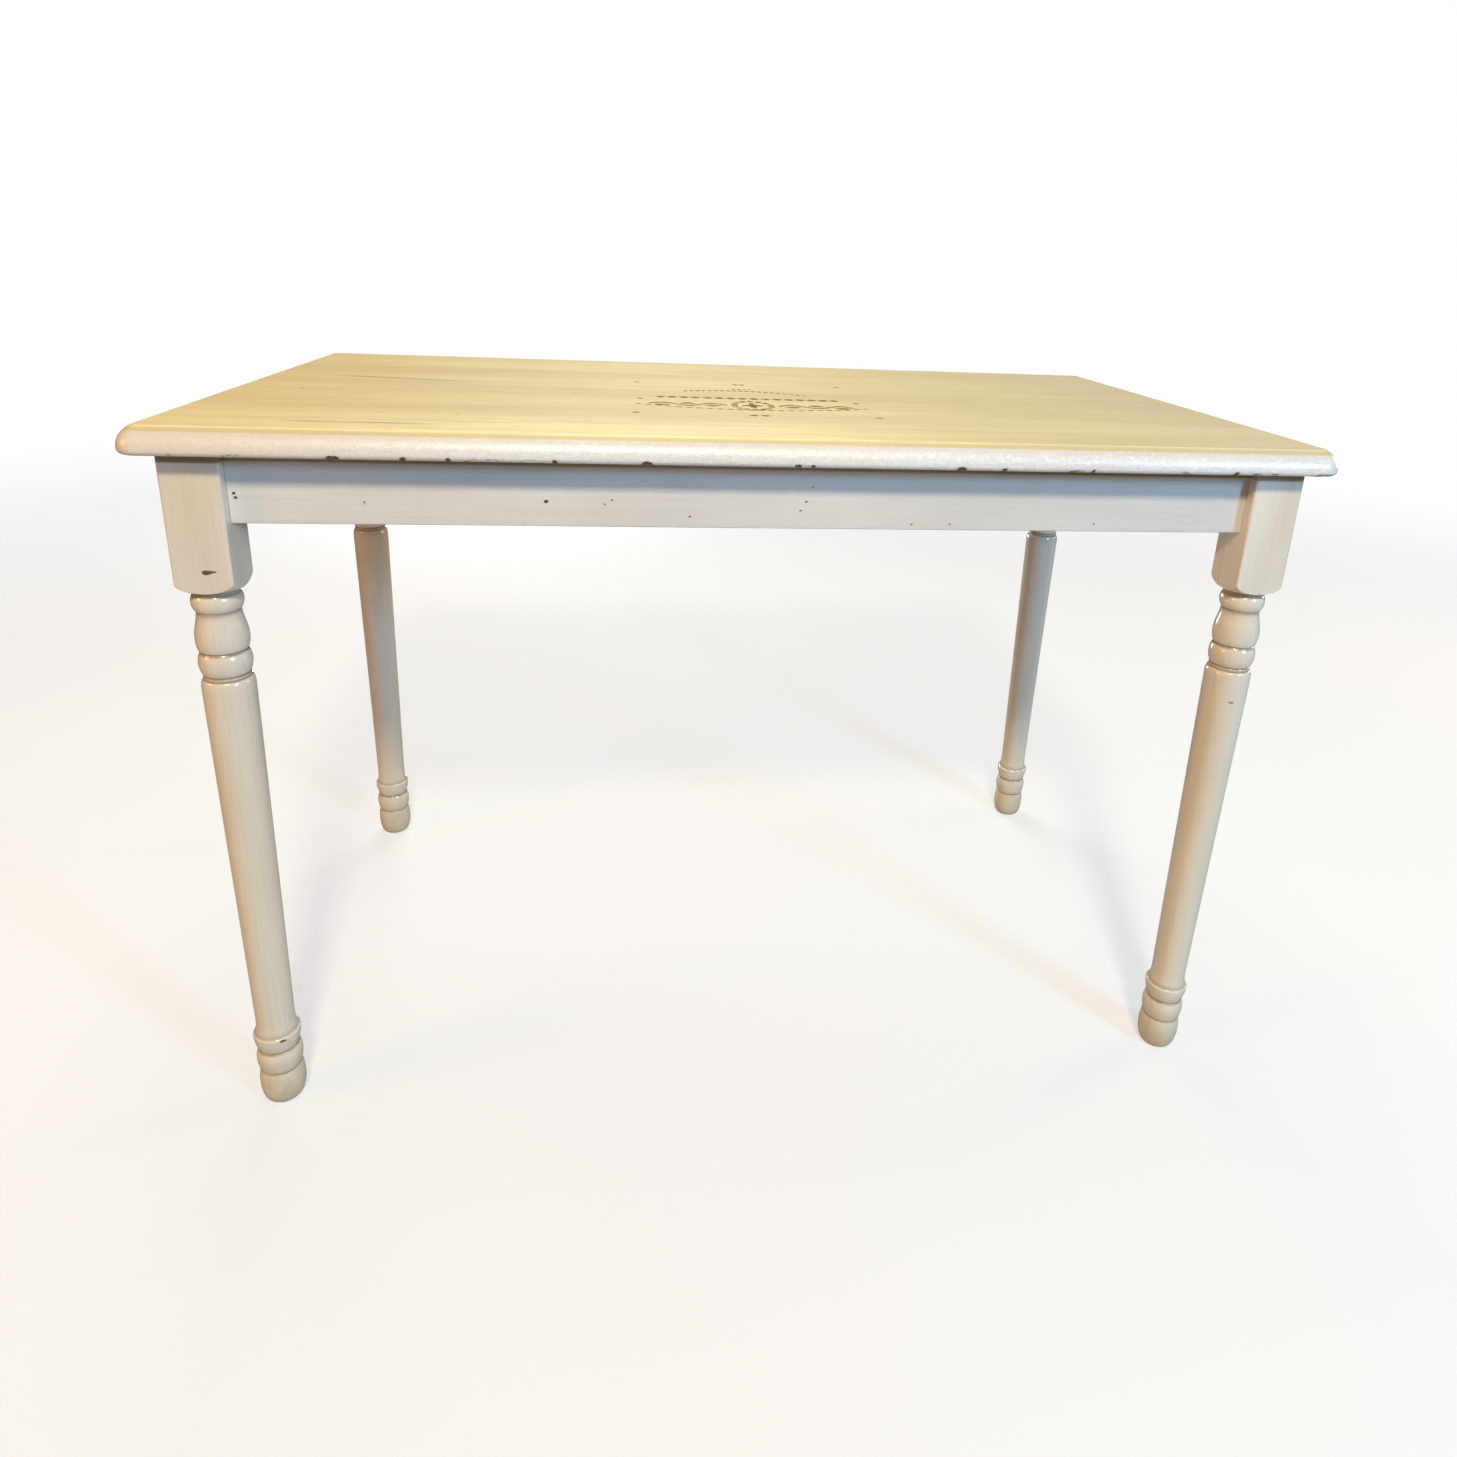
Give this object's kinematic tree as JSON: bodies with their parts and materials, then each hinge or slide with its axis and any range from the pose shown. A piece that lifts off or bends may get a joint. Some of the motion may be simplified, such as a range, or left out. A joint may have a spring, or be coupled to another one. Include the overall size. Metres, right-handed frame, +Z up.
{
  "type": "dining table",
  "caption": "Small rectangular farmhouse dining table: cream painted board top with a moulded rim, plain aprons and slim turned legs with beads and bun feet.",
  "frame": {"origin": "on the floor under the middle of the tabletop", "axes": "+X along the table's length to the right, +Y across it to the back, +Z up; the front is at -Y"},
  "size_m": [1.134, 0.654, 0.75],
  "materials": {
    "top_paint": "warm cream paint under satin varnish, brushed lengthwise, worn",
    "leg_paint": "ivory satin-gloss paint, darker in the turned grooves",
    "apron_paint": "off-white satin paint with small chips",
    "raw_wood": "bare sawn hardwood",
    "zinc_steel": "zinc plated"
  },
  "bodies": {
    "root": {"top_board_1": "top_paint", "top_board_2": "top_paint", "top_board_3": "top_paint", "top_board_4": "top_paint", "top_board_5": "top_paint", "leg_back_left": "leg_paint", "leg_back_right": "leg_paint", "leg_front_left": "leg_paint", "leg_front_right": "leg_paint", "apron_front": "apron_paint", "apron_back": "apron_paint", "apron_left": "apron_paint", "apron_right": "apron_paint", "corner_block_back_left": "raw_wood", "corner_block_back_right": "raw_wood", "corner_block_front_left": "raw_wood", "corner_block_front_right": "raw_wood", "top_batten": "raw_wood", "hanger_bolt_back_left": "zinc_steel", "washer_back_left": "zinc_steel", "nut_back_left": "zinc_steel", "hanger_bolt_back_right": "zinc_steel", "washer_back_right": "zinc_steel", "nut_back_right": "zinc_steel", "hanger_bolt_front_left": "zinc_steel", "washer_front_left": "zinc_steel", "nut_front_left": "zinc_steel", "hanger_bolt_front_right": "zinc_steel", "washer_front_right": "zinc_steel", "nut_front_right": "zinc_steel", "brace_screw_back_left_a": "zinc_steel", "brace_screw_back_left_b": "zinc_steel", "brace_screw_back_right_a": "zinc_steel", "brace_screw_back_right_b": "zinc_steel", "brace_screw_front_left_a": "zinc_steel", "brace_screw_front_left_b": "zinc_steel", "brace_screw_front_right_a": "zinc_steel", "brace_screw_front_right_b": "zinc_steel", "top_screw_back_left": "zinc_steel", "top_screw_back_right": "zinc_steel", "top_screw_front_left": "zinc_steel", "top_screw_front_right": "zinc_steel", "batten_screw_1": "zinc_steel", "batten_screw_2": "zinc_steel", "batten_screw_3": "zinc_steel", "batten_screw_4": "zinc_steel", "batten_screw_5": "zinc_steel"}
  },
  "joints": []
}
